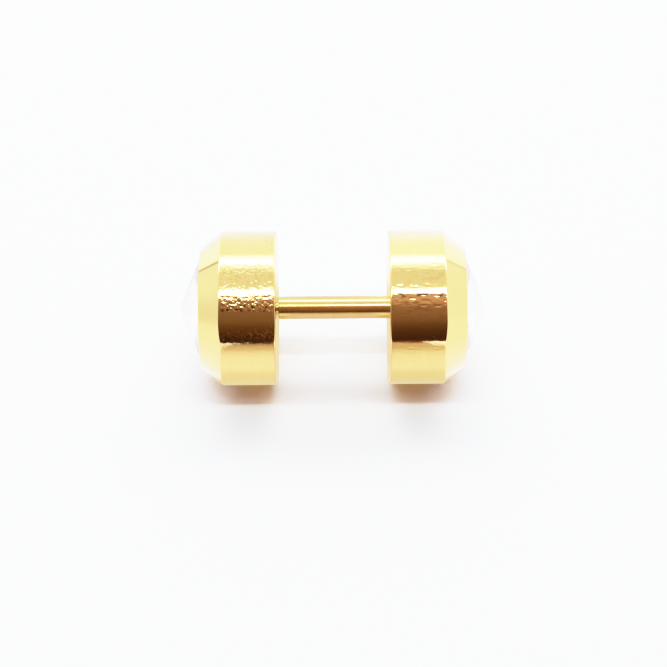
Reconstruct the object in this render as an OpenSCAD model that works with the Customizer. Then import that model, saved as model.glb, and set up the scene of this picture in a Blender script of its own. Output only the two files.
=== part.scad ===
// Barbell ear stud: two round heads with a pointed stone each, on a thin post.
// One head is pressed on the post for good, and the other screws off.
// The post lies along X, and the heads rest on the plane Z = 0.

/* [Post] */
// Diameter of the post between the heads
post_d = 1.2; // [1.1:0.05:1.6]
// Length of the post between the heads, where the ear sits
wear_len = 5.75; // [5:0.05:12]
// Outer diameter of the screw at the end of the post
screw_d = 0.88; // [0.8:0.02:0.88]
// Length of the screw past the head's inner face
screw_len = 1.5; // [1.2:0.05:1.55]
// Distance between two turns of the screw
screw_pitch = 0.225; // [0.2:0.025:0.3]
// Gap left between the post's shoulder and the screw head
neck_gap = 0.06; // [0.05:0.01:0.2]
// Length of the tenon pressed into the fixed head
tenon_len = 1.5; // [1.2:0.05:1.55]

/* [Heads] */
// Diameter of a head
head_d = 8; // [7.6:0.1:10]
// Length of a head's straight barrel
barrel_len = 2.84; // [2.8:0.02:5]
// Length of the bevel round the outer end, along the post
bevel_len = 1.11; // [1:0.01:1.3]
// Diameter of the flat outer face
face_d = 6.2; // [6.2:0.1:7]
// Radius of the rounded edge at the inner face
inner_edge_r = 0.1; // [0.05:0.01:0.2]
// Radius of the edge between barrel and bevel
bevel_edge_r = 0.15; // [0.05:0.01:0.2]
// Radius of the edge between bevel and outer face
face_edge_r = 0.08; // [0.05:0.01:0.1]

/* [Stones] */
// Diameter of a stone across its girdle
stone_d = 5.6; // [4:0.1:5.6]
// Angle of the front's main facets to the girdle
crown_angle = 22.5; // [18:0.5:26]
// Thickness of the girdle
girdle_h = 0.2; // [0.15:0.05:0.25]
// Angle of the back's main facets to the girdle
pavilion_angle = 26.5; // [22:0.5:27]
// Diameter of the small table on the tip, across its corners
table_d = 0.5; // [0.4:0.05:1.2]
// How far the girdle's top lies below the outer face
stone_sink = 0.05; // [0.02:0.01:0.1]

/* [Hidden] */

$fn = 96;
gold = [0.87, 0.72, 0.42];
crystal = [0.92, 0.94, 0.97];

head_r = head_d / 2;
head_len = barrel_len + bevel_len;
inner_face = wear_len / 2;
edge_steps = 3;

// Screw and tenon
screw_r = screw_d / 2;
screw_depth = 0.11;
screw_core_r = screw_r - screw_depth;
crest = 0.06;
tenon_r = 0.4;
press_gap = 0.01;
turn_gap = 0.03;
blind_space = 0.06;
mouth = 0.1;
end_chamfer = 0.12;

// Stones and the drilled cups that hold them
stone_r = stone_d / 2;
sides = 8;
half_step = 180 / sides;
table_flat_r = table_d / 2 * cos(half_step);
break_r = 0.62 * stone_r;
break_flat_r = break_r * cos(half_step);
crown_h = (stone_r - table_flat_r) * tan(crown_angle);
crown_break_h = (stone_r - break_flat_r) * tan(crown_angle);
pavilion_h = stone_r * tan(pavilion_angle);
pavilion_break_h = (stone_r - break_flat_r) * tan(pavilion_angle);
cup_gap = 0.04;
cup_r = stone_r + cup_gap;
cup_wall = stone_sink + girdle_h;
drill_half_angle = 59;
cup_point = cup_r / tan(drill_half_angle);
cut_over = 1;

function unit(v) = v / norm(v);

// The points of an arc of radius r that rounds the corner b between a and c.
function rounded(a, b, c, r) =
    let (
        u = unit(a - b),
        v = unit(c - b),
        half = acos(u * v) / 2,
        centre = b + unit(u + v) * r / sin(half),
        first = b + u * r / tan(half) - centre,
        last = b + v * r / tan(half) - centre,
        start = atan2(first.y, first.x),
        turn = atan2(cross(first, last), first * last)
    )
    [for (i = [0:edge_steps])
        centre + r * [cos(start + turn * i / edge_steps), sin(start + turn * i / edge_steps)]];

// Half the outline of a head, from its inner face at 0 outwards.
foot = [0, 0];
inner_corner = [head_r, 0];
bevel_corner = [head_r, barrel_len];
face_corner = [face_d / 2, head_len];
top = [0, head_len];
head_outline = concat(
    [foot],
    rounded(foot, inner_corner, bevel_corner, inner_edge_r),
    rounded(inner_corner, bevel_corner, face_corner, bevel_edge_r),
    rounded(bevel_corner, face_corner, top, face_edge_r),
    [top]
);

// Half the outline of the screw, with one tooth for each turn.
turns = floor((screw_len - end_chamfer) / screw_pitch);
screw_outline = concat(
    [[0, -neck_gap], [screw_core_r, -neck_gap]],
    [for (i = [0:turns - 1]) each [
        [screw_core_r, i * screw_pitch],
        [screw_r, (i + 0.5) * screw_pitch - crest / 2],
        [screw_r, (i + 0.5) * screw_pitch + crest / 2]
    ]],
    [[screw_core_r, turns * screw_pitch], [screw_core_r - 0.05, screw_len], [0, screw_len]]
);

// Turns +Z along the post, at the height at which the heads rest.
module along_post() {
    translate([0, 0, head_r])
        rotate([0, 90, 0])
            children();
}

module head_end() {
    along_post()
        translate([0, 0, inner_face])
            children();
}

module screw_end() {
    along_post()
        mirror([0, 0, 1])
            translate([0, 0, inner_face])
                children();
}

// A head with a cup for its stone and a blind hole for the post.
module head(hole_r, hole_len) {
    difference() {
        rotate_extrude()
            polygon(head_outline);
        translate([0, 0, head_len - cup_wall])
            cylinder(r = cup_r, h = cup_wall + cut_over);
        translate([0, 0, head_len - cup_wall - cup_point])
            cylinder(r1 = 0, r2 = cup_r, h = cup_point);
        translate([0, 0, -cut_over])
            cylinder(r = hole_r, h = hole_len + cut_over);
    }
}

// The corners of a cut stone that lie on one circle.
function corners(r, z, count, turn) =
    [for (i = [0:count - 1]) [r * cos(turn + 360 * i / count), r * sin(turn + 360 * i / count), z]];

// From the table down: where the main facets meet the girdle's small ones, the girdle's
// two edges, the same ring on the back, and the point.
stone_corners = concat(
    corners(table_d / 2, crown_h, sides, half_step),
    corners(break_r, crown_break_h, sides, half_step),
    corners(stone_r, 0, 2 * sides, 0),
    corners(stone_r, -girdle_h, 2 * sides, 0),
    corners(break_r, -girdle_h - pavilion_break_h, sides, half_step),
    [[0, 0, -girdle_h - pavilion_h]]
);

// A stone with its girdle's top at 0: a small table, and eight main facets front and back.
module stone() {
    hull()
        polyhedron(stone_corners, [[for (i = [0:len(stone_corners) - 1]) i]]);
}

module ear_post() {
    color(gold) {
        along_post()
            translate([0, 0, -inner_face + neck_gap])
                cylinder(d = post_d, h = wear_len - neck_gap);
        head_end() {
            cylinder(r = tenon_r, h = tenon_len - end_chamfer);
            translate([0, 0, tenon_len - end_chamfer])
                cylinder(r1 = tenon_r, r2 = tenon_r - end_chamfer, h = end_chamfer);
        }
        screw_end()
            rotate_extrude()
                polygon(screw_outline);
    }
}

module fixed_head() {
    color(gold)
        head_end()
            head(tenon_r + press_gap, tenon_len + blind_space);
}

module screw_head() {
    color(gold)
        screw_end()
            difference() {
                head(screw_r + turn_gap, screw_len + blind_space);
                cylinder(r1 = screw_r + turn_gap + mouth, r2 = screw_r + turn_gap, h = mouth);
            }
}

module fixed_stone() {
    color(crystal)
        head_end()
            translate([0, 0, head_len - stone_sink])
                stone();
}

module screw_stone() {
    color(crystal)
        screw_end()
            translate([0, 0, head_len - stone_sink])
                stone();
}

ear_post();
fixed_head();
screw_head();
fixed_stone();
screw_stone();
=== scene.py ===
import math

import bmesh
import bpy
from mathutils import Matrix, Vector


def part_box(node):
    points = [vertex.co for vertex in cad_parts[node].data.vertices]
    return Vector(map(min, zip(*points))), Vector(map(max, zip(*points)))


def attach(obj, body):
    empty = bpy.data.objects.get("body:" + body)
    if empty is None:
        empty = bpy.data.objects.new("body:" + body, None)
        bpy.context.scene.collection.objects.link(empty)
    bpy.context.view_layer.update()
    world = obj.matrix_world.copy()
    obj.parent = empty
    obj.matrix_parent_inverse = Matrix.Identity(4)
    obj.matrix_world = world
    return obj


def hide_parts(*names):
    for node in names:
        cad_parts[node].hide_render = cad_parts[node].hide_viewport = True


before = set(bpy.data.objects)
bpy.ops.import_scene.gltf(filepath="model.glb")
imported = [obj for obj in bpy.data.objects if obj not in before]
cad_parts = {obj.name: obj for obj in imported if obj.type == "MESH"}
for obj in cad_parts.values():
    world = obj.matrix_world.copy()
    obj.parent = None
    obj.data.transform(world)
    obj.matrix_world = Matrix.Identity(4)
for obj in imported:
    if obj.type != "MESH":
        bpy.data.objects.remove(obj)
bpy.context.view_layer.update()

# The post: a straight round wire of surgical steel, gold plated and drawn smooth. One end is
# turned down to a tenon that is pressed into the fixed head, the other to a fine screw that
# stops short of its shoulder, so that a narrow dark ring shows beside the screw head.
MM = 0.001
POST_R = 0.6
SHOULDER_EDGE_R = 0.03
SCREW_R = 0.44
SCREW_CORE_R = 0.33
SCREW_PITCH = 0.225
SCREW_LEN = 1.5
SCREW_RUN_OUT = 0.02
TOOTH_POINT = 1.25
NECK_GAP = 0.06
TENON_R = 0.4
TENON_LEN = 1.5
END_CHAMFER = 0.12
POST_STEPS = 96
RINGS_PER_TURN = 10
ROUND_STEPS = 4
GUARD = 0.012
SHARP_ANGLE = math.radians(30)
MERGE = 0.0005
NEAR = 0.001

POST_GOLD = (0.77, 0.61, 0.23)
SECOND_TONE = (0.86, 0.80, 0.72)
# The colour that the hollows of the peel are darkened towards.
HOLLOW_DARKENING = (0.12, 0.045, 0.018)
# A pale colour painted in at the rim as glow, which only the camera sees.
PAINTED_RIM_GLOW = (0.92, 0.90, 0.88)
RIM_POWER = 4.0
DARKENED_HOLLOWS = (0.36, 0.47)
PIT_REACH = 0.42
PIT_CROWDING = 2.0
PIT_THINNING = -0.3
STREAK_STRETCH = (0.12, 1.0, 1.0)
TURNING_STRETCH = (1.0, 0.06, 0.06)
POLISH = 0.02
POLISH_SPREAD = 0.06
WEAR_SHARE = 0.4

head_low, head_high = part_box("fixed_head")
inner_x = head_low.x / MM
axis_z = (head_low.z + head_high.z) / 2


def turned(outline, steps):
    """A round piece, in millimetres about X, from the (x, radius) corners of half its outline.

    A third number at a corner rounds it off. Two more corners close beside it keep the flats
    next to the rounding flat to the eye.
    """
    points = []
    rings = []
    for i, corner in enumerate(outline):
        here = Vector(corner[:2])
        if len(corner) == 2:
            points.append(here)
            continue
        to_last = (Vector(outline[i - 1][:2]) - here).normalized()
        to_next = (Vector(outline[i + 1][:2]) - here).normalized()
        reach = corner[2] / math.tan(to_last.angle(to_next) / 2)
        points += [here + to_last * (reach + GUARD), here, here + to_next * (reach + GUARD)]
        rings.append((here, reach))
    bm = bmesh.new()
    corners = [bm.verts.new((p.x, 0, p.y)) for p in points]
    lines = [bm.edges.new(pair) for pair in zip(corners, corners[1:])]
    bmesh.ops.spin(bm, geom=corners + lines, cent=(0, 0, 0), axis=(1, 0, 0), dvec=(0, 0, 0),
                   angle=2 * math.pi, steps=steps, use_merge=True)
    bmesh.ops.remove_doubles(bm, verts=bm.verts, dist=MERGE)
    for ring, reach in rings:
        edges = [e for e in bm.edges
                 if all(abs(v.co.x - ring.x) + abs(v.co.yz.length - ring.y) < MERGE for v in e.verts)]
        bmesh.ops.bevel(bm, geom=edges, offset=reach, offset_type="OFFSET", segments=ROUND_STEPS,
                        profile=0.5, affect="EDGES", material=-1, clamp_overlap=True)
    bmesh.ops.recalc_face_normals(bm, faces=bm.faces)
    return bm


def cut_helix(bm):
    """Raises the rings of the screw's core to the tooth of a helix that runs out at both ends."""
    for v in bm.verts:
        reach = math.hypot(v.co.y, v.co.z)
        if v.co.x > neck_x + NEAR or abs(reach - SCREW_CORE_R) > NEAR:
            continue
        phase = (v.co.x / SCREW_PITCH + math.atan2(v.co.y, v.co.z) / (2 * math.pi)) % 1
        tooth = min(1.0, TOOTH_POINT * (1 - abs(2 * phase - 1)))
        at_neck = min(1.0, max(0.0, (-inner_x - SCREW_RUN_OUT - v.co.x) / SCREW_PITCH))
        at_end = min(1.0, max(0.0, (v.co.x - screw_end_x - END_CHAMFER / 2) / SCREW_PITCH))
        radius = SCREW_CORE_R + (SCREW_R - SCREW_CORE_R) * tooth * at_neck * at_end
        v.co.y *= radius / reach
        v.co.z *= radius / reach


def place(bm, name, materials, body, node, smooth=True):
    """Sets a piece made about X at the height of the post, in metres, and lets it ride on its body."""
    for e in bm.edges:
        e.smooth = e.is_manifold and e.calc_face_angle() < SHARP_ANGLE
    bm.transform(Matrix.Translation((0, 0, axis_z)) @ Matrix.Scale(MM, 4))
    mesh = bpy.data.meshes.new(name)
    bm.to_mesh(mesh)
    bm.free()
    for face in mesh.polygons:
        face.use_smooth = smooth
    piece = bpy.data.objects.new(name, mesh)
    bpy.context.scene.collection.objects.link(piece)
    for material in materials:
        mesh.materials.append(material)
    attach(piece, body)
    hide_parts(node)


def add(tree, kind, **settings):
    """A new node with its settings made."""
    new = tree.nodes.new(kind)
    for key, value in settings.items():
        setattr(new, key, value)
    return new


def feed(tree, value, socket):
    """Gives a socket its value: another node's output, a number, or a colour of three numbers."""
    if isinstance(value, bpy.types.NodeSocket):
        tree.links.new(value, socket)
    elif isinstance(value, (int, float)):
        socket.default_value = value
    else:
        socket.default_value = (*value, 1)


def maths(tree, operation, *values):
    """A Math node that takes sockets or numbers, and gives its output."""
    step = add(tree, "ShaderNodeMath", operation=operation)
    for number, value in enumerate(values):
        feed(tree, value, step.inputs[number])
    return step.outputs[0]


def eased(tree, value, start, end, first, last):
    """Goes softly from first to last while the value goes from start to end."""
    rise = add(tree, "ShaderNodeMapRange", interpolation_type="SMOOTHSTEP")
    for key, given in (("Value", value), ("From Min", start), ("From Max", end),
                       ("To Min", first), ("To Max", last)):
        feed(tree, given, rise.inputs[key])
    return rise.outputs[0]


def noise(tree, vector, scale, detail, seed=0.0):
    """Noise of about one bump for each unit over scale, from 0 to 1."""
    made = add(tree, "ShaderNodeTexNoise", noise_dimensions="4D")
    for key, given in (("Vector", vector), ("Scale", scale), ("Detail", detail), ("W", seed)):
        feed(tree, given, made.inputs[key])
    return made.outputs["Fac"]


def stretched(tree, vector, scale, location=(0, 0, 0)):
    """A pattern's place, stretched along each axis and then moved."""
    mapping = add(tree, "ShaderNodeMapping")
    tree.links.new(vector, mapping.inputs["Vector"])
    mapping.inputs["Scale"].default_value = scale
    mapping.inputs["Location"].default_value = location
    return mapping.outputs[0]


def blend(tree, factor, first, second, way="MIX"):
    """Blends two colours, each a socket or three numbers, by a factor from 0 to 1."""
    mix = add(tree, "ShaderNodeMix", data_type="RGBA", blend_type=way)
    for number, value in ((0, factor), (6, first), (7, second)):
        feed(tree, value, mix.inputs[number])
    return mix.outputs[2]


def bare_material(name):
    """A material that has no nodes yet, and its node tree."""
    material = bpy.data.materials.new(name)
    material.use_nodes = True
    material.node_tree.nodes.clear()
    return material, material.node_tree


def put_out(tree, shader):
    """Sends a shader to the surface."""
    out = add(tree, "ShaderNodeOutputMaterial")
    tree.links.new(shader, out.inputs["Surface"])


def make_plated_skin():
    """The skin of plated metal: soft peel, small pits and drawn streaks, in millimetres."""
    tree = bpy.data.node_groups.new("plated_skin", "ShaderNodeTree")
    face = tree.interface
    face.new_socket("Vector", in_out="INPUT", socket_type="NodeSocketVector")
    for name, value in (("Peel", 0.001), ("Peel Scale", 5.0), ("Pits", 0.002), ("Pit Scale", 6.5),
                        ("Pit Share", 0.3), ("Patch", 1.0), ("Hollow Darkening", 0.0), ("Streaks", 0.0),
                        ("Turning", 0.0), ("Dull", 0.0)):
        socket = face.new_socket(name, in_out="INPUT", socket_type="NodeSocketFloat")
        socket.default_value = value
    for name in ("Height", "Roughness", "Wear", "Dark"):
        face.new_socket(name, in_out="OUTPUT", socket_type="NodeSocketFloat")
    given = add(tree, "NodeGroupInput").outputs
    result = add(tree, "NodeGroupOutput").inputs
    where = given["Vector"]

    swell = noise(tree, where, given["Peel Scale"], detail=1.3)
    peel = maths(tree, "MULTIPLY", maths(tree, "SUBTRACT", swell, 0.5), given["Peel"])
    # The hollows of the peel are darkened by the share given for them.
    hollow = eased(tree, swell, *DARKENED_HOLLOWS, 1.0, 0.0)
    tree.links.new(maths(tree, "MULTIPLY", given["Hollow Darkening"], hollow), result["Dark"])

    cells = add(tree, "ShaderNodeTexVoronoi", feature="F1")
    tree.links.new(where, cells.inputs["Vector"])
    tree.links.new(given["Pit Scale"], cells.inputs["Scale"])
    bowl = eased(tree, cells.outputs["Distance"], 0.0, PIT_REACH, -1.0, 0.0)
    lot = add(tree, "ShaderNodeSeparateColor")
    tree.links.new(cells.outputs["Color"], lot.inputs["Color"])
    cluster = noise(tree, where, scale=1.1, detail=1.0, seed=3.0)
    crowd = maths(tree, "MULTIPLY_ADD", cluster, PIT_CROWDING, PIT_THINNING)
    chosen = maths(tree, "LESS_THAN", lot.outputs[0], maths(tree, "MULTIPLY", given["Pit Share"], crowd))
    pits = maths(tree, "MULTIPLY", maths(tree, "MULTIPLY", bowl, chosen), given["Pits"])

    drawn = noise(tree, stretched(tree, where, STREAK_STRETCH), scale=9.0, detail=2.0, seed=7.0)
    streaks = maths(tree, "MULTIPLY", maths(tree, "SUBTRACT", drawn, 0.5), given["Streaks"])
    rough = maths(tree, "MULTIPLY", maths(tree, "ADD", peel, pits), given["Patch"])
    tree.links.new(maths(tree, "ADD", rough, streaks), result["Height"])

    cloud = noise(tree, where, scale=2.2, detail=3.0, seed=11.0)
    polish = maths(tree, "MULTIPLY_ADD", cloud, POLISH_SPREAD, POLISH)
    tree.links.new(maths(tree, "ADD", polish, given["Dull"]), result["Roughness"])

    lathe_marks = noise(tree, stretched(tree, where, TURNING_STRETCH), scale=6.0, detail=2.0, seed=9.0)
    turning = maths(tree, "MULTIPLY", lathe_marks, given["Turning"])
    worn = noise(tree, where, scale=0.8, detail=2.0, seed=5.0)
    tree.links.new(maths(tree, "MULTIPLY_ADD", worn, WEAR_SHARE, turning), result["Wear"])
    return tree


plated_skin = make_plated_skin()


def gold(name, colour, peel, pits, streaks=0.0, turning=0.0, dull=0.0, stretch=1.0, shift=0.0,
         rim_glow=1.3):
    """Polished gold plating, with peel of (height, scale) and pits of (depth, scale, share).

    The pattern is stretched and shifted along the post. A pale glow is painted into the colour at
    the rim, for the camera only; the last setting gives its strength.
    """
    material, tree = bare_material(name)
    where = add(tree, "ShaderNodeTexCoord")
    skin = add(tree, "ShaderNodeGroup", node_tree=plated_skin, name="skin")
    in_mm = stretched(tree, where.outputs["Object"], (stretch / MM, 1 / MM, 1 / MM), (shift, 0, 0))
    tree.links.new(in_mm, skin.inputs["Vector"])
    for key, value in (("Peel", peel[0]), ("Peel Scale", peel[1]), ("Pits", pits[0]),
                       ("Pit Scale", pits[1]), ("Pit Share", pits[2]), ("Streaks", streaks),
                       ("Turning", turning), ("Dull", dull)):
        skin.inputs[key].default_value = value

    second_tone = [part * share for part, share in zip(colour, SECOND_TONE)]
    toned = blend(tree, skin.outputs["Wear"], colour, second_tone)
    # Darker in the hollows of the peel, by the share given for them.
    darkened = blend(tree, skin.outputs["Dark"], toned, HOLLOW_DARKENING)
    # Painted glow: a pale colour blended in at the rim, for camera rays only.
    rim = add(tree, "ShaderNodeLayerWeight")
    rim.inputs["Blend"].default_value = 0.5
    seen = add(tree, "ShaderNodeLightPath")
    painted_glow = maths(tree, "MULTIPLY", maths(tree, "POWER", rim.outputs["Facing"], RIM_POWER), rim_glow)
    painted_glow = maths(tree, "MULTIPLY", painted_glow, seen.outputs["Is Camera Ray"])
    bump = add(tree, "ShaderNodeBump")
    bump.inputs["Distance"].default_value = MM
    tree.links.new(skin.outputs["Height"], bump.inputs["Height"])

    metal = add(tree, "ShaderNodeBsdfPrincipled")
    metal.inputs["Metallic"].default_value = 1.0
    tree.links.new(blend(tree, painted_glow, darkened, PAINTED_RIM_GLOW), metal.inputs["Base Color"])
    tree.links.new(skin.outputs["Roughness"], metal.inputs["Roughness"])
    tree.links.new(bump.outputs[0], metal.inputs["Normal"])
    put_out(tree, metal.outputs[0])
    return material


neck_x = -inner_x + NECK_GAP
screw_end_x = -inner_x - SCREW_LEN
tenon_end_x = inner_x + TENON_LEN
core_len = SCREW_LEN - END_CHAMFER + NECK_GAP
ring_count = int(core_len / SCREW_PITCH * RINGS_PER_TURN)
ring_step = core_len / ring_count
post_outline = (
    [(screw_end_x, 0), (screw_end_x, SCREW_CORE_R - END_CHAMFER / 2)]
    + [(screw_end_x + END_CHAMFER + ring_step * i, SCREW_CORE_R) for i in range(ring_count + 1)]
    + [(neck_x, SCREW_CORE_R), (neck_x, POST_R, SHOULDER_EDGE_R), (inner_x, POST_R), (inner_x, TENON_R)]
    + [(tenon_end_x - END_CHAMFER, TENON_R), (tenon_end_x, TENON_R - END_CHAMFER), (tenon_end_x, 0)]
)
post_mesh = turned(post_outline, POST_STEPS)
cut_helix(post_mesh)
drawn_gold = gold("drawn_gold", POST_GOLD, peel=(0.0006, 5.0), pits=(0.006, 3.5, 0.12),
                  streaks=0.003, turning=0.5, dull=0.08, rim_glow=0.8)
place(post_mesh, "post", [drawn_gold], "stud", "ear_post")

# The two heads: steel cups turned from bar, with a wide bevel round the outer end, plated over
# a surface that was polished but kept its small pits. One is pressed on the post for good. The
# other has a blind hole for the screw, and its barrel is the rougher of the two.
HEAD_R = (head_high.z - head_low.z) / 2 / MM
OUTER_X = head_high.x / MM
BEVEL_LEN = 1.11
FACE_R = 3.1
INNER_EDGE_R = 0.1
BEVEL_EDGE_R = 0.15
FACE_EDGE_R = 0.08
CUP_R = 2.84
CUP_WALL = 0.25
DRILL_HALF_ANGLE = math.radians(59)
HOLE_LEN = 1.56
HOLE_MOUTH = 0.1
PRESS_GAP = 0.01
TURN_GAP = 0.03
HEAD_STEPS = 192
BARREL, SMOOTH, INNER = 0, 1, 2

HEAD_GOLD = (0.87, 0.69, 0.305)
# The patches left by the polishing: degrees round the post, from the front over the top, share
# of roughness, and share of darkening in the hollows of the peel.
FIXED_PATCHES = (
    (0, 0.15, 0), (5, 0.4, 0), (17, 0.4, 0), (20, 0.12, 0), (24, 0.2, 0.1), (30, 0.08, 0),
    (42, 0.2, 0.1), (44, 0.35, 0.2), (48, 0.7, 0.3), (50, 1.0, 0.3), (53, 0.8, 0.2),
    (54.2, 0.35, 0.4), (55, 0.25, 0.9), (56.4, 0.15, 0.9), (57.2, 0.12, 0), (60, 0.2, 0),
    (63, 0.9, 0), (68, 0.9, 0.1), (75, 0.6, 0.1), (82, 0.2, 0), (90, 0.1, 0),
    (200, 0.3, 0.05), (300, 0.1, 0),
)
SCREW_PATCHES = (
    (0, 0.08, 0), (8, 0.1, 0), (17, 0.05, 0), (20, 0.04, 0), (22, 0.06, 0.3), (25, 0.22, 0.6),
    (28, 0.42, 0.4), (31, 0.15, 0), (33, 0.05, 0), (43.6, 0.05, 0), (44.4, 0.72, 1),
    (48, 0.75, 1), (49.5, 0.75, 0.4), (51, 0.6, 0.1), (54.5, 0.42, 0.1), (57, 0.2, 0),
    (60, 0.12, 0), (63, 0.35, 0.1), (68, 0.5, 0.12), (75, 0.45, 0.1), (80, 0.15, 0),
    (90, 0.06, 0), (200, 0.25, 0.05), (300, 0.06, 0),
)


def position(tree, axis):
    """The place along X, Y or Z, in metres."""
    where = add(tree, "ShaderNodeTexCoord")
    split = add(tree, "ShaderNodeSeparateXYZ")
    tree.links.new(where.outputs["Object"], split.inputs[0])
    return split.outputs[axis]


def colour_ramp(tree, value, stops):
    """The colours of the stops (place from 0 to 1, colour), in between them blended."""
    made = add(tree, "ShaderNodeValToRGB")
    tree.links.new(value, made.inputs[0])
    elements = made.color_ramp.elements
    elements.remove(elements[1])
    for number, (place_on, colour) in enumerate(stops):
        stop = elements[0] if number == 0 else elements.new(place_on)
        stop.position = place_on
        stop.color = (*colour, 1)
    return made.outputs[0]


def patch(material, rows):
    """Gives a gold its share of roughness and of darkening in the peel's hollows at each angle round the
    post.
    """
    tree = material.node_tree
    skin = tree.nodes["skin"]
    over = maths(tree, "SUBTRACT", position(tree, "Z"), axis_z)
    turn = maths(tree, "ARCTAN2", over, maths(tree, "MULTIPLY", position(tree, "Y"), -1.0))
    turn_share = maths(tree, "FRACT", maths(tree, "DIVIDE", turn, 2 * math.pi))
    stops = [(degrees / 360, (rough, darkening, 0)) for degrees, rough, darkening in rows]
    shares = add(tree, "ShaderNodeSeparateColor")
    tree.links.new(colour_ramp(tree, turn_share, stops), shares.inputs["Color"])
    tree.links.new(shares.outputs[0], skin.inputs["Patch"])
    tree.links.new(shares.outputs[1], skin.inputs["Hollow Darkening"])


def head(side, hole_r, mouth):
    """A head in millimetres, on the side +1 or -1 of the post, with its blind hole."""
    bevel_x = OUTER_X - BEVEL_LEN
    cup_x = OUTER_X - CUP_WALL
    outline = [(inner_x + HOLE_LEN, 0), (inner_x + HOLE_LEN, hole_r)]
    if mouth:
        outline += [(inner_x + mouth, hole_r), (inner_x, hole_r + mouth)]
    else:
        outline += [(inner_x, hole_r)]
    outline += [(inner_x, HEAD_R, INNER_EDGE_R), (bevel_x, HEAD_R, BEVEL_EDGE_R),
                (OUTER_X, FACE_R, FACE_EDGE_R), (OUTER_X, CUP_R),
                (cup_x, CUP_R), (cup_x - CUP_R / math.tan(DRILL_HALF_ANGLE), 0)]
    bm = turned([(side * corner[0], *corner[1:]) for corner in outline], HEAD_STEPS)
    for f in bm.faces:
        on_barrel = all(abs(math.hypot(v.co.y, v.co.z) - HEAD_R) < NEAR for v in f.verts)
        on_inner_face = all(abs(v.co.x - side * inner_x) < NEAR for v in f.verts)
        f.material_index = BARREL if on_barrel else INNER if on_inner_face else SMOOTH
    return bm


smooth_gold = gold("smooth_gold", HEAD_GOLD, peel=(0.0002, 5.0), pits=(0.002, 6.5, 0.03), rim_glow=1.1)
inner_gold = gold("inner_face_gold", HEAD_GOLD, peel=(0.0002, 5.0), pits=(0.002, 6.5, 0.03),
                  turning=0.3, rim_glow=0.12)
fixed_gold = gold("fixed_barrel_gold", HEAD_GOLD, peel=(0.016, 5.5), pits=(0.012, 4.5, 0.5),
                  turning=0.8, stretch=0.35, shift=3.1, rim_glow=1.1)
screw_gold = gold("screw_barrel_gold", HEAD_GOLD, peel=(0.052, 6.3), pits=(0.006, 7.0, 0.2),
                  turning=0.5, stretch=0.85, shift=9.7, rim_glow=1.1)
patch(fixed_gold, FIXED_PATCHES)
patch(screw_gold, SCREW_PATCHES)
place(head(1, TENON_R + PRESS_GAP, 0), "head_fixed", [fixed_gold, smooth_gold, inner_gold],
      "stud", "fixed_head")
place(head(-1, SCREW_R + TURN_GAP, HOLE_MOUTH), "head_screw", [screw_gold, smooth_gold, inner_gold],
      "screw_end", "screw_head")

# The stones: clear pointed crystals, ground flat by flat, with a mirror foil on the back. They
# are glued in the cups with the girdle just below the face and the tip standing out.
STONE_R = 2.8
GIRDLE_H = 0.2
TABLE_R = 0.25
BREAK_SHARE = 0.62
CROWN_ANGLE = math.radians(22.5)
PAVILION_ANGLE = math.radians(26.5)
STONE_SINK = 0.05
SIDES = 8
BLANK_LEN = 6.0
ON_FLAT = 1e-5
CRYSTAL_IOR = 1.55
CRYSTAL_RUB = 0.02
FOIL_SILVER = (0.95, 0.95, 0.96)
FOIL_ROUGHNESS = 0.3
FOIL_BRUSH = 0.1
GLASS, FOIL = 0, 1


def grind(bm, point, normal):
    """Cuts away what stands over a flat, and closes the stone there."""
    cut = bmesh.ops.bisect_plane(bm, geom=bm.verts[:] + bm.edges[:] + bm.faces[:], dist=ON_FLAT,
                                 plane_co=point, plane_no=normal, clear_outer=True)
    rim = [e for e in cut["geom_cut"] if isinstance(e, bmesh.types.BMEdge)]
    if rim:
        bmesh.ops.contextual_create(bm, geom=rim)


def cut_side(bm, height, angle, upwards):
    """The main flats and the small girdle flats of the front or the back, from the girdle's edge."""
    break_r = BREAK_SHARE * STONE_R
    half = math.pi / SIDES
    break_h = (STONE_R - break_r * math.cos(half)) * math.tan(angle)
    small_angle = math.atan(break_h / ((STONE_R - break_r) * math.cos(half / 2)))
    for k in range(2 * SIDES):
        turn = (k + 0.5) * half
        out = Vector((0, math.cos(turn), math.sin(turn)))
        foot = out * STONE_R * math.cos(half / 2)
        grind(bm, foot + Vector((height, 0, 0)),
              out * math.sin(small_angle) + Vector((upwards * math.cos(small_angle), 0, 0)))
    for k in range(SIDES):
        turn = 2 * k * half
        out = Vector((0, math.cos(turn), math.sin(turn)))
        grind(bm, out * STONE_R + Vector((height, 0, 0)),
              out * math.sin(angle) + Vector((upwards * math.cos(angle), 0, 0)))


def stone(side):
    """A stone in millimetres, its front towards +X or -X, ground from a sixteen-sided blank."""
    table_flat_r = TABLE_R * math.cos(math.pi / SIDES)
    crown_h = (STONE_R - table_flat_r) * math.tan(CROWN_ANGLE)
    bm = bmesh.new()
    bmesh.ops.create_cone(bm, cap_ends=True, cap_tris=False, segments=2 * SIDES,
                          radius1=STONE_R, radius2=STONE_R, depth=BLANK_LEN)
    bmesh.ops.rotate(bm, verts=bm.verts, cent=(0, 0, 0), matrix=Matrix.Rotation(math.pi / 2, 3, "Y"))
    cut_side(bm, 0.0, CROWN_ANGLE, 1)
    cut_side(bm, -GIRDLE_H, PAVILION_ANGLE, -1)
    grind(bm, Vector((crown_h, 0, 0)), Vector((1, 0, 0)))
    bmesh.ops.remove_doubles(bm, verts=bm.verts, dist=NEAR)
    bmesh.ops.recalc_face_normals(bm, faces=bm.faces)
    for f in bm.faces:
        f.material_index = FOIL if f.calc_center_median().x < -GIRDLE_H - NEAR else GLASS
    bmesh.ops.translate(bm, verts=bm.verts, vec=(OUTER_X - STONE_SINK, 0, 0))
    bm.transform(Matrix.Scale(side, 4, (1, 0, 0)))
    bmesh.ops.recalc_face_normals(bm, faces=bm.faces)
    return bm


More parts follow.
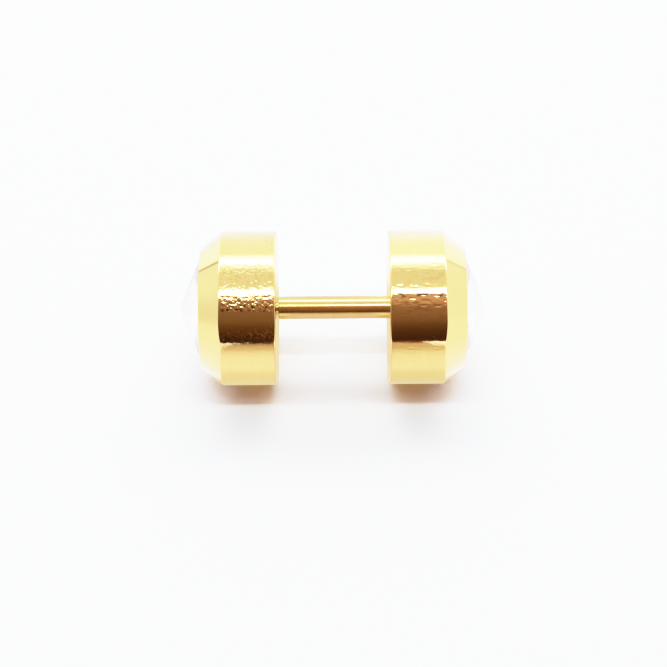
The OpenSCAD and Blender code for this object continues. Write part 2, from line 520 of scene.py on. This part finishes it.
def make_crystal():
    """Clear glass of high brilliance, with the faint rub of its polishing."""
    material = bpy.data.materials.new("clear_crystal")
    material.use_nodes = True
    tree = material.node_tree
    glass = tree.nodes["Principled BSDF"]
    glass.inputs["Base Color"].default_value = (1, 1, 1, 1)
    glass.inputs["Transmission Weight"].default_value = 1.0
    glass.inputs["IOR"].default_value = CRYSTAL_IOR
    glass.inputs["Metallic"].default_value = 0.0
    where = add(tree, "ShaderNodeTexCoord")
    rub = noise(tree, where.outputs["Object"], scale=900.0, detail=2.0)
    tree.links.new(maths(tree, "MULTIPLY", rub, CRYSTAL_RUB), glass.inputs["Roughness"])
    return material


def make_foil():
    """The silvery foil on the back, a little uneven in its shine."""
    material = bpy.data.materials.new("mirror_foil")
    material.use_nodes = True
    tree = material.node_tree
    foil = tree.nodes["Principled BSDF"]
    foil.inputs["Base Color"].default_value = (*FOIL_SILVER, 1)
    foil.inputs["Metallic"].default_value = 1.0
    where = add(tree, "ShaderNodeTexCoord")
    brush = noise(tree, where.outputs["Object"], scale=1500.0, detail=2.0)
    roughness = maths(tree, "MULTIPLY_ADD", brush, FOIL_BRUSH, FOIL_ROUGHNESS)
    tree.links.new(roughness, foil.inputs["Roughness"])
    return material


clear_crystal = make_crystal()
mirror_foil = make_foil()
place(stone(1), "stone_fixed", [clear_crystal, mirror_foil], "stud",
      "fixed_stone", smooth=False)
place(stone(-1), "stone_screw", [clear_crystal, mirror_foil], "screw_end",
      "screw_stone", smooth=False)

# The light box round the stud: pale walls and a ceiling cloth with two bright bands where lamps
# shine through it. Its front stands open towards a dark room. All of this is only mirrored by the
# metal, and the lamps only light the paper.
BOX_SIDE = 360 * MM
BOX_BACK = 280 * MM
BOX_FRONT = -55 * MM
BOX_TOP = 300 * MM
WHITE = (1.0, 1.0, 1.0)
THROUGH_GLASS = 1.25

# The back wall: its light at each place across it, in millimetres, and the seams at its ends,
# strips of their own glow in the back corners, dimmer than the walls.
BACK_PEAK = 1.8
BACK_TINT = (0.97, 0.97, 1.0)
BACK_LIGHT = ((-360, 1.8), (-120, 1.75), (-40, 1.5), (-11, 1.5), (-8, 1.15), (8, 1.2), (11, 1.8),
              (360, 1.8))
SEAM_TINT = (1.0, 0.98, 0.92)
SEAM_WIDTH = 30 * MM
LEFT_SEAM = 0.8
RIGHT_SEAM = 1.15

# The side walls, of which the left one is a little darker near the floor, with shade painted at its foot.
SIDE_LIGHT = 1.33
LEFT_FOOT = 0.82
LEFT_FOOT_RISE = (35 * MM, 120 * MM)

# The cloth: its light at each angle over the front's horizon, seen from the post, in degrees.
CLOTH_EDGE = 62.8
CLOTH_PEAK = 8.0
CLOTH_TINT = (1.0, 0.99, 0.90)
CLOTH_DIM = 1.2
CLOTH = ((62.8, 1.5), (64.5, 2.6), (66.5, 5.0), (68.0, 8.0), (71.2, 8.0), (72.7, 5.0), (74.2, 2.4),
         (75.8, 1.4), (78.0, 1.09), (103.0, 1.09), (107.0, 1.5), (111.0, 2.1), (114.5, 3.0),
         (117.0, 5.0), (118.5, 8.0), (120.4, 8.0), (122.2, 5.5), (124.0, 3.6), (130.0, 2.3),
         (133.0, 1.8))

# The lamps on the ceiling: from and to degrees, half the width in millimetres, light.
LAMPS = (("lamp_front_wide", (75.0, 78.0), 360, (24.8, 30.8, 23.0)),
         ("lamp_front_narrow", (75.0, 78.0), 110, (11.9, 20.5, 34.7)),
         ("lamp_front_edge", (62.8, 75.0), 360, (1.77, 1.17, 0.72)),
         ("lamp_back", (112.0, 133.0), 360, (6.34, 6.67, 6.78)))
LAMP_BACK_WALL = (3.27, 3.80, 4.22)
LAMP_SIDES = (0.27, 0.48, 1.23)
LAMP_ROOM = (0.484, 0.0, 0.0)


def flat(name, corner_a, corner_b):
    """A flat rectangle between two corners that share one coordinate."""
    low, high = Vector(map(min, corner_a, corner_b)), Vector(map(max, corner_a, corner_b))
    size = high - low
    bm = bmesh.new()
    bmesh.ops.create_grid(bm, x_segments=1, y_segments=1, size=0.5)
    thin = min(range(3), key=lambda i: size[i])
    if thin < 2:
        turn = Matrix.Rotation(math.pi / 2, 3, "YX"[thin])
        bmesh.ops.rotate(bm, verts=bm.verts, cent=(0, 0, 0), matrix=turn)
    bmesh.ops.scale(bm, verts=bm.verts, vec=[s if i != thin else 1 for i, s in enumerate(size)])
    bmesh.ops.translate(bm, verts=bm.verts, vec=(low + high) / 2)
    mesh = bpy.data.meshes.new(name)
    bm.to_mesh(mesh)
    bm.free()
    card = bpy.data.objects.new(name, mesh)
    bpy.context.scene.collection.objects.link(card)
    return card


def wall(name, corner_a, corner_b, material, mirrored=True):
    """A card of the light box: the metal mirrors it, or else it is a lamp for the paper."""
    card = flat(name, corner_a, corner_b)
    card.data.materials.append(material)
    card.visible_camera = False
    card.visible_shadow = False
    card.visible_diffuse = not mirrored
    card.visible_glossy = mirrored
    card.visible_transmission = mirrored
    return card


def emit(tree, colour, strength):
    """Light of a colour and a strength, each a socket or a value."""
    shine = add(tree, "ShaderNodeEmission")
    feed(tree, colour, shine.inputs["Color"])
    feed(tree, strength, shine.inputs["Strength"])
    return shine.outputs[0]


def stronger_in_glass(tree, strength):
    """A strength, raised as the stones see it, because they stand in the brightest light."""
    ray = add(tree, "ShaderNodeLightPath")
    factor = maths(tree, "MULTIPLY_ADD", ray.outputs["Is Transmission Ray"], THROUGH_GLASS - 1, 1.0)
    return maths(tree, "MULTIPLY", factor, strength)


def glow(name, colour, strength):
    """A plain, even glow."""
    material, tree = bare_material(name)
    put_out(tree, emit(tree, colour, stronger_in_glass(tree, strength)))
    return material


def lamp(name, corner_a, corner_b, light):
    """A card with a red, green and blue brightness of its own that only lights the paper."""
    peak = max(light)
    wall(name, corner_a, corner_b, glow(name, [part / peak for part in light], peak), mirrored=False)


def ceiling_y(degrees):
    """Where the ceiling stands at this angle over the front horizon, seen from the post."""
    return -(BOX_TOP - axis_z) / math.tan(math.radians(degrees))


def back_wall_paint():
    """Pale paint with the light of BACK_LIGHT across it."""
    material, tree = bare_material("back_wall")
    across = maths(tree, "MULTIPLY_ADD", position(tree, "X"), 0.5 / BOX_SIDE, 0.5)
    stops = [(0.5 + 0.5 * x * MM / BOX_SIDE, [part * light / BACK_PEAK for part in BACK_TINT])
             for x, light in BACK_LIGHT]
    put_out(tree, emit(tree, colour_ramp(tree, across, stops), stronger_in_glass(tree, BACK_PEAK)))
    return material


def left_wall_paint():
    """The glow of the left side wall, with painted shade that darkens it near the floor."""
    material, tree = bare_material("left_wall")
    light = eased(tree, position(tree, "Z"), *LEFT_FOOT_RISE, LEFT_FOOT * SIDE_LIGHT, SIDE_LIGHT)
    put_out(tree, emit(tree, WHITE, stronger_in_glass(tree, light)))
    return material


def ceiling_cloth():
    """The cloth, with the light of CLOTH from its front edge to the back wall."""
    material, tree = bare_material("ceiling_cloth")
    length = BOX_BACK - front_y
    share = maths(tree, "DIVIDE", maths(tree, "SUBTRACT", position(tree, "Y"), front_y), length)
    stops = []
    for degrees, light in CLOTH:
        tint = CLOTH_TINT if light < CLOTH_DIM else WHITE
        place_on = (ceiling_y(degrees) - front_y) / length
        stops.append((place_on, [light / CLOTH_PEAK * part for part in tint]))
    put_out(tree, emit(tree, colour_ramp(tree, share, stops), stronger_in_glass(tree, CLOTH_PEAK)))
    return material


front_y = ceiling_y(CLOTH_EDGE)
wall("wall_back", (-BOX_SIDE, BOX_BACK, 0), (BOX_SIDE, BOX_BACK, BOX_TOP), back_wall_paint())
for edge, light in ((-BOX_SIDE + MM, LEFT_SEAM), (BOX_SIDE - MM, RIGHT_SEAM)):
    wall("corner_seam", (edge, BOX_BACK - SEAM_WIDTH, 0), (edge, BOX_BACK, BOX_TOP),
         glow("corner_seam", SEAM_TINT, light))
wall("wall_left", (-BOX_SIDE, front_y, 0), (-BOX_SIDE, BOX_BACK, BOX_TOP), left_wall_paint())
wall("wall_right", (BOX_SIDE, front_y, 0), (BOX_SIDE, BOX_BACK, BOX_TOP),
     glow("right_wall", WHITE, SIDE_LIGHT))
wall("ceiling_cloth", (-BOX_SIDE, front_y, BOX_TOP), (BOX_SIDE, BOX_BACK, BOX_TOP), ceiling_cloth())

lamp_z = BOX_TOP - MM
for name, (low_angle, high_angle), half, light in LAMPS:
    lamp(name, (-half * MM, ceiling_y(low_angle), lamp_z),
         (half * MM, ceiling_y(high_angle), lamp_z), light)
lamp("lamp_back_wall", (-BOX_SIDE, BOX_BACK, 0), (BOX_SIDE, BOX_BACK, BOX_TOP), LAMP_BACK_WALL)
for edge in (-BOX_SIDE, BOX_SIDE):
    lamp("lamp_side", (edge, front_y, 0), (edge, BOX_BACK, BOX_TOP), LAMP_SIDES)

# The dark room before the open front, which the barrels mirror as their brown band. It is
# darkest near the floor, and its right half, before the fixed head, is lighter above and a
# little less yellow than its left half.
OPENING_HALF = 150 * MM
OPENING_FOOT = 0.1 * MM
# The angle over the horizon up to which the room is seen, on the left side and on the right.
ROOM_TOP = {-1: 63.3, 1: 66.5}
ROOM_SHADES = (
    (0.0, (0.055, 0.019, 0.010)), (0.06, (0.075, 0.028, 0.014)), (0.125, (0.105, 0.040, 0.020)),
    (0.21, (0.159, 0.068, 0.026)), (0.305, (0.25, 0.125, 0.06)), (0.416, (0.29, 0.15, 0.09)),
    (0.52, (0.295, 0.153, 0.098)), (0.6, (0.33, 0.18, 0.12)), (0.69, (0.42, 0.235, 0.165)),
    (0.8, (0.50, 0.30, 0.21)), (1.0, (0.62, 0.44, 0.36)),
)
HALVES_BLEND = (-16 * MM, 16 * MM)
# The light of both halves. On the right it rises and then falls again over these shares of the
# opening's height.
LEFT_LIGHT = 0.98
RIGHT_TINT = (1.0, 1.0, 1.12)
RIGHT_LIGHT_LOW = 0.93
RIGHT_RISE = (0.1, 0.85)
RIGHT_LIGHT_HIGH = 1.62
RIGHT_FALL = (0.86, 1.0)
RIGHT_LIGHT_TOP = 1.22
# The strip before the post is lighter low down, and so is the foot, most before the fixed head.
POST_STRIP = (3.7 * MM, 4.3 * MM)
POST_STRIP_RISE = (0.0, 0.45)
POST_STRIP_LIGHT = (2.3, 1.3)
FOOT_RISE = (0.0, 4 * MM)
FOOT_BLEND = (0.3, 0.7)
FOOT_LIGHT = (1.8, 2.8)


def dark_room():
    """The room's colours by its height, lit a little unevenly. From behind it is clear."""
    material, tree = bare_material("dark_room")
    height = position(tree, "Z")
    aside = position(tree, "X")
    share = maths(tree, "DIVIDE", height, front_top)
    rightness = eased(tree, aside, *HALVES_BLEND, 0.0, 1.0)
    shades = colour_ramp(tree, share, ROOM_SHADES)
    shades = blend(tree, rightness, shades, RIGHT_TINT, way="MULTIPLY")

    right_top = eased(tree, share, *RIGHT_FALL, RIGHT_LIGHT_HIGH, RIGHT_LIGHT_TOP)
    right = eased(tree, share, *RIGHT_RISE, RIGHT_LIGHT_LOW, right_top)
    light = eased(tree, rightness, 0.0, 1.0, LEFT_LIGHT, right)
    foot = eased(tree, rightness, *FOOT_BLEND, *FOOT_LIGHT)
    light = maths(tree, "MULTIPLY", light, eased(tree, height, *FOOT_RISE, foot, 1.0))
    strip = eased(tree, share, *POST_STRIP_RISE, *POST_STRIP_LIGHT)
    strip = eased(tree, maths(tree, "ABSOLUTE", aside), *POST_STRIP, strip, 1.0)
    shine = emit(tree, shades, maths(tree, "MULTIPLY", light, strip))

    clear = add(tree, "ShaderNodeBsdfTransparent")
    side = add(tree, "ShaderNodeNewGeometry")
    choose = add(tree, "ShaderNodeMixShader")
    tree.links.new(side.outputs["Backfacing"], choose.inputs[0])
    tree.links.new(shine, choose.inputs[1])
    tree.links.new(clear.outputs[0], choose.inputs[2])
    put_out(tree, choose.outputs[0])
    return material


def opening_z(degrees):
    """How high the open front reaches at this angle over the horizon, seen from the post."""
    return axis_z - BOX_FRONT * math.tan(math.radians(degrees))


front_top = opening_z(CLOTH_EDGE)
room = dark_room()
for end, degrees in ROOM_TOP.items():
    front = wall("dark_front", (0, BOX_FRONT, OPENING_FOOT),
                 (end * OPENING_HALF, BOX_FRONT, opening_z(degrees)), room)
    front.data.flip_normals()
lamp("lamp_room", (-OPENING_HALF, BOX_FRONT - MM, OPENING_FOOT),
     (OPENING_HALF, BOX_FRONT - MM, front_top), LAMP_ROOM)

# The ground: a sheet of matt white paper that the stud lies on. The camera sees it in the light
# of the lamps. The metal mirrors instead a glow with the paper's light and shade painted in:
# bright round the stud, warm painted shade close to and between the heads, and darker and
# browner towards the open front.
FLOOR_HALF = 4.0
PAPER_WHITE = (0.76, 0.76, 0.78)
PAPER_ROUGHNESS = 0.6
PAPER_SHINE = 0.2
MIRRORED_REACH = 50.0
MIRRORED_PEAK = 2.0
# The paper's light and shade, painted as a colour at each distance in front of the post, in
# millimetres, first before the heads and then between them: warm painted shade close to the
# heads, darker towards the front. Beside the heads it goes by the distance to the side.
BEFORE_HEADS = (
    (2.4, (0.92, 0.76, 0.49)), (2.9, (0.96, 0.86, 0.57)), (3.3, (0.99, 0.90, 0.64)),
    (3.8, (1.06, 0.965, 0.71)), (4.6, (1.10, 1.03, 0.80)), (5.1, (1.13, 1.08, 0.88)),
    (5.7, (1.25, 1.16, 1.04)), (6.4, (1.38, 1.28, 1.24)), (7.5, (1.40, 1.33, 1.33)),
    (11.0, (1.37, 1.28, 1.28)), (12.5, (1.28, 1.20, 1.18)), (15.0, (1.20, 1.11, 1.03)),
    (17.5, (1.06, 0.965, 0.81)), (21.0, (0.88, 0.78, 0.60)), (26.0, (0.82, 0.69, 0.56)),
    (34.0, (0.66, 0.50, 0.43)), (42.0, (0.46, 0.30, 0.23)), (50.0, (0.21, 0.10, 0.06)),
)
BETWEEN_HEADS = (
    (0.0, (0.90, 0.83, 0.85)), (2.5, (1.03, 0.95, 1.02)), (4.0, (1.15, 1.01, 1.12)),
    (10.0, (1.15, 0.95, 1.04)), (13.0, (1.00, 0.78, 0.74)), (20.0, (0.66, 0.48, 0.38)),
    (35.0, (0.48, 0.32, 0.24)), (48.0, (0.13, 0.05, 0.03)),
)
BESIDE_HEADS = (
    (7.0, (1.35, 1.28, 1.4)), (8.3, (1.45, 1.38, 1.45)), (10.0, (1.5, 1.42, 1.6)),
    (13.0, (1.45, 1.39, 1.5)), (17.0, (1.43, 1.37, 1.39)),
)
# Painted warm shade of the paper close to the heads' inner edges.
PAINTED_SHADE_BY_INNER_EDGE = (0.98, 0.78, 0.50)
# Where one colour goes over into the next, aside from the post's middle or in front of it.
INNER_GAP = (2.4 * MM, 2.6 * MM)
INNER_EDGE = (2.95 * MM, 3.1 * MM)
EDGE_REACH = (4 * MM, 7 * MM)
PAST_HEADS = (6.4 * MM, 7.2 * MM)
# The light in front of the stud, less far to the left and more far off before the fixed head.
FAR_LEFT = (-120 * MM, -8 * MM)
FAR_LEFT_LIGHT = 0.82
FIXED_HEAD_FROM = (-2 * MM, 3 * MM)
FIXED_HEAD_TO = (8 * MM, 11 * MM)
FAR_OFF = (22 * MM, 45 * MM)
FAR_OFF_MORE = 0.7
# The light behind the stud, from left to right and then far aside.
BEHIND = (2 * MM, 9 * MM)
BEHIND_BLEND = (-12 * MM, 12 * MM)
BEHIND_LIGHT = (1.0, 1.15)
BEHIND_ASIDE = (15 * MM, 60 * MM)
BEHIND_ASIDE_LIGHT = 1.2


def paper_ramp(tree, distance, rows):
    """The colours of the rows (millimetres, colour) along a distance in metres."""
    stops = [(reach / MIRRORED_REACH, [part / MIRRORED_PEAK for part in colour])
             for reach, colour in rows]
    return colour_ramp(tree, maths(tree, "DIVIDE", distance, MIRRORED_REACH * MM), stops)


def mirrored_paper(tree):
    """The paper as the metal mirrors it: a glow with the paper's light and shade painted in."""
    along_x = position(tree, "X")
    along_y = position(tree, "Y")
    aside = maths(tree, "ABSOLUTE", along_x)
    behind = maths(tree, "MINIMUM", along_y, BEHIND[1])
    distance = maths(tree, "MAXIMUM", maths(tree, "MULTIPLY", along_y, -1.0), behind)

    colours = paper_ramp(tree, distance, BEFORE_HEADS)
    # Painted shade close to the heads' inner edges.
    shaded_by_inner_edge = maths(tree, "MULTIPLY", eased(tree, aside, *INNER_EDGE, 1.0, 0.0),
                          eased(tree, distance, *EDGE_REACH, 1.0, 0.0))
    colours = blend(tree, shaded_by_inner_edge, colours, [part / MIRRORED_PEAK for part in PAINTED_SHADE_BY_INNER_EDGE])
    between = eased(tree, aside, *INNER_GAP, 1.0, 0.0)
    colours = blend(tree, between, colours, paper_ramp(tree, distance, BETWEEN_HEADS))
    beside = eased(tree, aside, *PAST_HEADS, 0.0, 1.0)
    colours = blend(tree, beside, colours, paper_ramp(tree, aside, BESIDE_HEADS))

    before_fixed_head = maths(tree, "MULTIPLY", eased(tree, along_x, *FIXED_HEAD_FROM, 0.0, 1.0),
                              eased(tree, along_x, *FIXED_HEAD_TO, 1.0, 0.0))
    far_off = eased(tree, distance, *FAR_OFF, 0.0, FAR_OFF_MORE)
    far_off = maths(tree, "MULTIPLY_ADD", far_off, before_fixed_head, 1.0)
    in_front = maths(tree, "MULTIPLY", eased(tree, along_x, *FAR_LEFT, FAR_LEFT_LIGHT, 1.0), far_off)
    at_back = eased(tree, along_x, *BEHIND_BLEND, *BEHIND_LIGHT)
    at_back = eased(tree, aside, *BEHIND_ASIDE, at_back, BEHIND_ASIDE_LIGHT)
    light = maths(tree, "MULTIPLY", eased(tree, along_y, *BEHIND, in_front, at_back), MIRRORED_PEAK)
    return emit(tree, colours, stronger_in_glass(tree, light))


def white_paper():
    """Matt paper for the camera, and for the metal and the stones a glow with its light and shade painted
    in.
    """
    material = bpy.data.materials.new("white_paper")
    material.use_nodes = True
    tree = material.node_tree
    sheet = tree.nodes["Principled BSDF"]
    sheet.inputs["Base Color"].default_value = (*PAPER_WHITE, 1)
    sheet.inputs["Roughness"].default_value = PAPER_ROUGHNESS
    sheet.inputs["Specular IOR Level"].default_value = PAPER_SHINE
    seen = add(tree, "ShaderNodeLightPath")
    choose = add(tree, "ShaderNodeMixShader")
    tree.links.new(seen.outputs["Is Camera Ray"], choose.inputs[0])
    tree.links.new(mirrored_paper(tree), choose.inputs[1])
    tree.links.new(sheet.outputs[0], choose.inputs[2])
    tree.links.new(choose.outputs[0], tree.nodes["Material Output"].inputs["Surface"])
    return material


floor = flat("floor", (-FLOOR_HALF, -FLOOR_HALF, 0), (FLOOR_HALF, FLOOR_HALF, 0))
floor.data.materials.append(white_paper())

# The pale room round the light box. It shows past the box's edges in the metal, and lights
# nothing by itself.
ROOM_WHITE = (0.97, 0.97, 0.98)
ROOM_LIGHT = 1.6

world = bpy.data.worlds.new("pale_room")
bpy.context.scene.world = world
world.use_nodes = True
world.node_tree.nodes["Background"].inputs["Color"].default_value = (*ROOM_WHITE, 1)
world.node_tree.nodes["Background"].inputs["Strength"].default_value = ROOM_LIGHT
world.cycles_visibility.diffuse = False

# The picture is taken bright, as on white paper in a light box: the film's curve bends over at
# the top, so that the paper stays just below white and the pale reflections keep their colour.
FILM = ((0.5, 0.5), (0.8, 0.79), (1.0, 0.89), (1.2, 0.935), (1.5, 0.965), (2.2, 0.985), (3.6, 1.0))
FILM_END = 4.0
ALL_COLOURS = 3

view = bpy.context.scene.view_settings
view.view_transform = "Standard"
view.use_curve_mapping = True
film = view.curve_mapping
film.white_level = (FILM_END, FILM_END, FILM_END)
film.extend = "HORIZONTAL"
bend = film.curves[ALL_COLOURS]
for brightness, shown in FILM:
    bend.points.new(brightness / FILM_END, shown)
film.update()

# The camera looks from the front and from above, with a long lens, and aims a little below the
# stud, which so lies just above the middle of the picture.
ELEVATION = math.radians(47)
DISTANCE = 112 * MM
LENS = 116.5
CLIP_START = 5 * MM
CLIP_END = 20.0
ASIDE = 0.028 * MM
AIM_BELOW = math.radians(0.692)
ROLL = math.radians(0.45)

back = Vector((0, -math.cos(ELEVATION), math.sin(ELEVATION)))
up = Vector((0, math.sin(ELEVATION), math.cos(ELEVATION)))
camera_data = bpy.data.cameras.new("camera")
camera_data.lens = LENS
camera_data.clip_start = CLIP_START
camera_data.clip_end = CLIP_END
camera = bpy.data.objects.new("camera", camera_data)
bpy.context.scene.collection.objects.link(camera)
aimed_at = Vector((ASIDE, 0, axis_z))
camera.location = aimed_at + back * DISTANCE
aim = aimed_at - up * DISTANCE * math.tan(AIM_BELOW) - camera.location
camera.rotation_mode = "QUATERNION"
camera.rotation_quaternion = aim.to_track_quat("-Z", "Y") @ Matrix.Rotation(-ROLL, 3, "Z").to_quaternion()
bpy.context.scene.camera = camera
